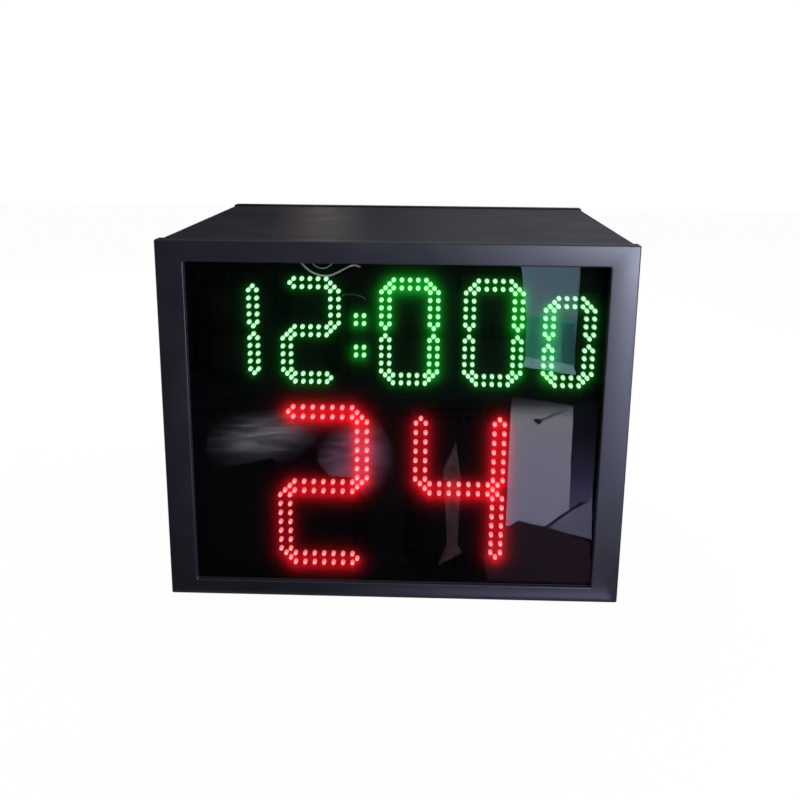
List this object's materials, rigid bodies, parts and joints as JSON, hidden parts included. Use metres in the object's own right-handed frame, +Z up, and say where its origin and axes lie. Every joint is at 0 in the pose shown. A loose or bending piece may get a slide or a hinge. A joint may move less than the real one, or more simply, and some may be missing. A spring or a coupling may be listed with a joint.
{
  "type": "led basketball shot clock",
  "caption": "Basketball shot clock: game clock row over large shot digits behind a tinted window, in a deep black steel cabinet with a hinged, louvred and locked rear door.",
  "frame": {"origin": "middle of the cabinet's base, on the surface that the clock stands on", "axes": "+Z up, the display faces -Y, the service door is at +Y, +X to the viewer's right"},
  "size_m": [0.594, 0.56, 0.472],
  "materials": {
    "black_powder_coat": "fine matte black powder coat on folded sheet steel",
    "zinc_plated_steel": "dull zinc plate",
    "chromed_metal": "polished plate",
    "aluminium_case": "mill finish",
    "black_rubber": "closed-cell foam",
    "tinted_acrylic": "smoke-tinted cast acrylic, polished",
    "black_plastic": "moulded, fine grain",
    "red_plastic": "moulded, glossy",
    "circuit_board": "solder mask",
    "green_display": "green lamps on a black board",
    "red_display": "red lamps on a black board",
    "white_insulation": "extruded",
    "black_insulation": "extruded",
    "grey_insulation": "extruded flat cable"
  },
  "bodies": {
    "cabinet": {"base_tray": "black_powder_coat", "clock_colon": "green_display", "clock_digit_minutes_tens": "green_display", "clock_digit_minutes_units": "green_display", "clock_digit_seconds_tens": "green_display", "clock_digit_seconds_units": "green_display", "clock_digit_tenths": "green_display", "colon_lead": "black_insulation", "control_socket": "chromed_metal", "control_socket_nut": "zinc_plated_steel", "controller_board": "circuit_board", "display_lead": "black_insulation", "display_plate": "black_powder_coat", "door_seal": "black_rubber", "driver_board": "circuit_board", "front_frame": "black_powder_coat", "front_panel": "tinted_acrylic", "hinge_lower_frame_leaf": "zinc_plated_steel", "hinge_lower_pin": "zinc_plated_steel", "hinge_upper_frame_leaf": "zinc_plated_steel", "hinge_upper_pin": "zinc_plated_steel", "mains_inlet": "black_plastic", "mains_lead": "black_insulation", "outer_shell": "black_powder_coat", "panel_clamp_bottom": "zinc_plated_steel", "panel_clamp_left": "zinc_plated_steel", "panel_clamp_right": "zinc_plated_steel", "panel_clamp_top": "zinc_plated_steel", "panel_seal": "black_rubber", "power_supply_case": "aluminium_case", "power_supply_terminals": "black_plastic", "power_switch_housing": "black_plastic", "rear_frame": "black_powder_coat", "ribbon_cable": "grey_insulation", "shot_digit_tens": "red_display", "shot_digit_units": "red_display", "siren": "black_plastic", "siren_bracket": "zinc_plated_steel", "siren_lead": "black_insulation", "socket_lead": "black_insulation", "window_wire_loop": "white_insulation", "window_wire_thin": "white_insulation"},
    "door": {"rear_door": "black_powder_coat", "door_stiffener_left": "black_powder_coat", "door_stiffener_right": "black_powder_coat", "hinge_upper_door_leaf": "zinc_plated_steel", "hinge_lower_door_leaf": "zinc_plated_steel", "lock_upper_housing": "chromed_metal", "lock_lower_housing": "chromed_metal", "lock_upper_nut": "zinc_plated_steel", "lock_lower_nut": "zinc_plated_steel"},
    "lock_upper": {"lock_upper_plug": "chromed_metal", "lock_upper_cam": "zinc_plated_steel"},
    "lock_lower": {"lock_lower_plug": "chromed_metal", "lock_lower_cam": "zinc_plated_steel"},
    "switch_rocker": {"power_switch_rocker": "red_plastic"}
  },
  "joints": [
    {"name": "door_hinge", "type": "hinge", "parent": "cabinet", "child": "door", "pos_m": [0.2665, 0.2765, 0.26], "axis": [0, 0, -1], "range_deg": [0, 110]},
    {"name": "lock_upper_turn", "type": "hinge", "parent": "door", "child": "lock_upper", "pos_m": [-0.242, 0.2727, 0.361], "axis": [0, 1, 0], "range_deg": [0, 90]},
    {"name": "lock_lower_turn", "type": "hinge", "parent": "door", "child": "lock_lower", "pos_m": [-0.242, 0.2727, 0.159], "axis": [0, 1, 0], "range_deg": [0, 90]},
    {"name": "power_switch_tilt", "type": "hinge", "parent": "cabinet", "child": "switch_rocker", "pos_m": [-0.165, 0.273, 0.04], "axis": [-1, 0, 0], "range_deg": [0, 24]}
  ]
}
